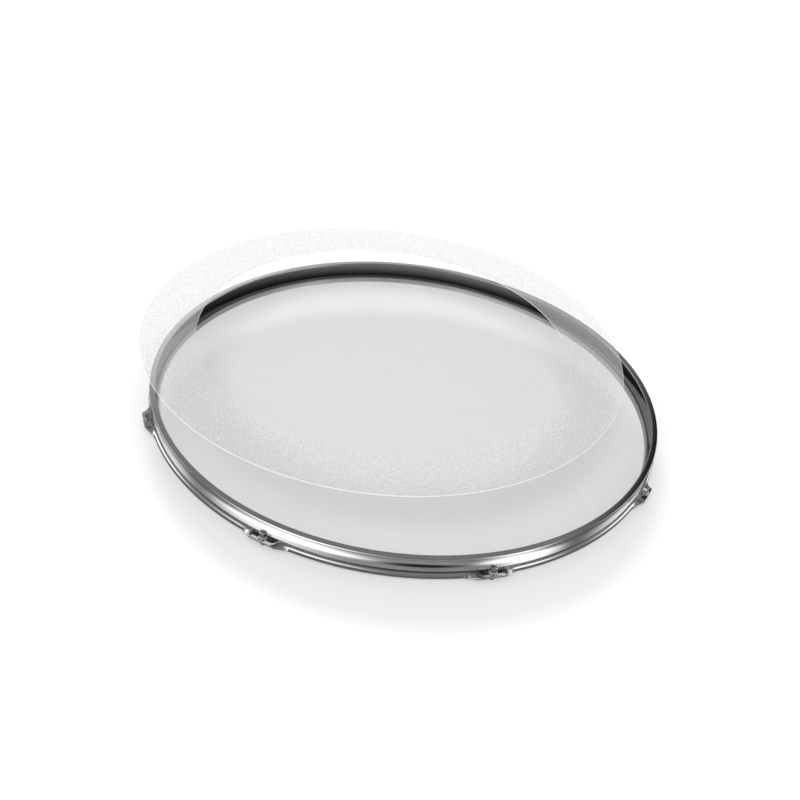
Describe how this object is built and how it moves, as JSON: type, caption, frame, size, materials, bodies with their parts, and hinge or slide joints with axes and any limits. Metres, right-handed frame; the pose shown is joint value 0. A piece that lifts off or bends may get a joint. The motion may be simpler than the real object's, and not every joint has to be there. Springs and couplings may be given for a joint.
{
  "type": "drum head",
  "caption": "Drum head: a clear film in a metal flesh hoop, held by a chromed flanged counter hoop with key-headed tension rods, and a loose clear damping ring that lies on the film.",
  "frame": {"origin": "on the shell's axis, in the plane that the flesh hoop stands on", "axes": "+Z along the shell's axis, from the shell towards the playing side; the picture looks along +Y from above"},
  "size_m": [0.3795, 0.3752, 0.058],
  "materials": {
    "hoop_channel": "satin rolled channel",
    "set_resin": "dark, set",
    "clear_film": "clear, slightly hazy",
    "chromed_steel": "bright chrome plate",
    "clear_ring": "clear with a fine grain",
    "washer_steel": "plain plated steel",
    "rod_chrome": "bright chrome plate"
  },
  "bodies": {
    "head": {"flesh_hoop": "hoop_channel", "resin_bead": "set_resin", "head_film": "clear_film"},
    "hoop": {"counter_hoop": "chromed_steel", "rod_washer_1": "washer_steel", "rod_washer_2": "washer_steel", "rod_washer_3": "washer_steel", "rod_washer_4": "washer_steel", "rod_washer_5": "washer_steel", "rod_washer_6": "washer_steel", "rod_washer_7": "washer_steel", "rod_washer_8": "washer_steel"},
    "ring": {"damping_ring": "clear_ring"},
    "rod_1": {"tension_rod_1": "rod_chrome"},
    "rod_2": {"tension_rod_2": "rod_chrome"},
    "rod_3": {"tension_rod_3": "rod_chrome"},
    "rod_4": {"tension_rod_4": "rod_chrome"},
    "rod_5": {"tension_rod_5": "rod_chrome"},
    "rod_6": {"tension_rod_6": "rod_chrome"},
    "rod_7": {"tension_rod_7": "rod_chrome"},
    "rod_8": {"tension_rod_8": "rod_chrome"}
  },
  "joints": [
    {"name": "hoop_lift", "type": "slide", "parent": "head", "child": "hoop", "axis": [0, 0, 1], "range_m": [0, 0.025]},
    {"name": "ring_drop", "type": "slide", "parent": "head", "child": "ring", "axis": [0.3478, 0.1276, -0.9289], "range_m": [0, 0.05722]},
    {"name": "rod_1_turn", "type": "hinge", "parent": "hoop", "child": "rod_1", "pos_m": [0.17701, 0.06795, 0.0055], "axis": [0, 0, 1], "continuous": true},
    {"name": "rod_2_turn", "type": "hinge", "parent": "hoop", "child": "rod_2", "pos_m": [0.07712, 0.17321, 0.0055], "axis": [0, 0, 1], "continuous": true},
    {"name": "rod_3_turn", "type": "hinge", "parent": "hoop", "child": "rod_3", "pos_m": [-0.06795, 0.17701, 0.0055], "axis": [0, 0, 1], "continuous": true},
    {"name": "rod_4_turn", "type": "hinge", "parent": "hoop", "child": "rod_4", "pos_m": [-0.17321, 0.07712, 0.0055], "axis": [0, 0, 1], "continuous": true},
    {"name": "rod_5_turn", "type": "hinge", "parent": "hoop", "child": "rod_5", "pos_m": [-0.17701, -0.06795, 0.0055], "axis": [0, 0, 1], "continuous": true},
    {"name": "rod_6_turn", "type": "hinge", "parent": "hoop", "child": "rod_6", "pos_m": [-0.07712, -0.17321, 0.0055], "axis": [0, 0, 1], "continuous": true},
    {"name": "rod_7_turn", "type": "hinge", "parent": "hoop", "child": "rod_7", "pos_m": [0.06795, -0.17701, 0.0055], "axis": [0, 0, 1], "continuous": true},
    {"name": "rod_8_turn", "type": "hinge", "parent": "hoop", "child": "rod_8", "pos_m": [0.17321, -0.07712, 0.0055], "axis": [0, 0, 1], "continuous": true}
  ]
}
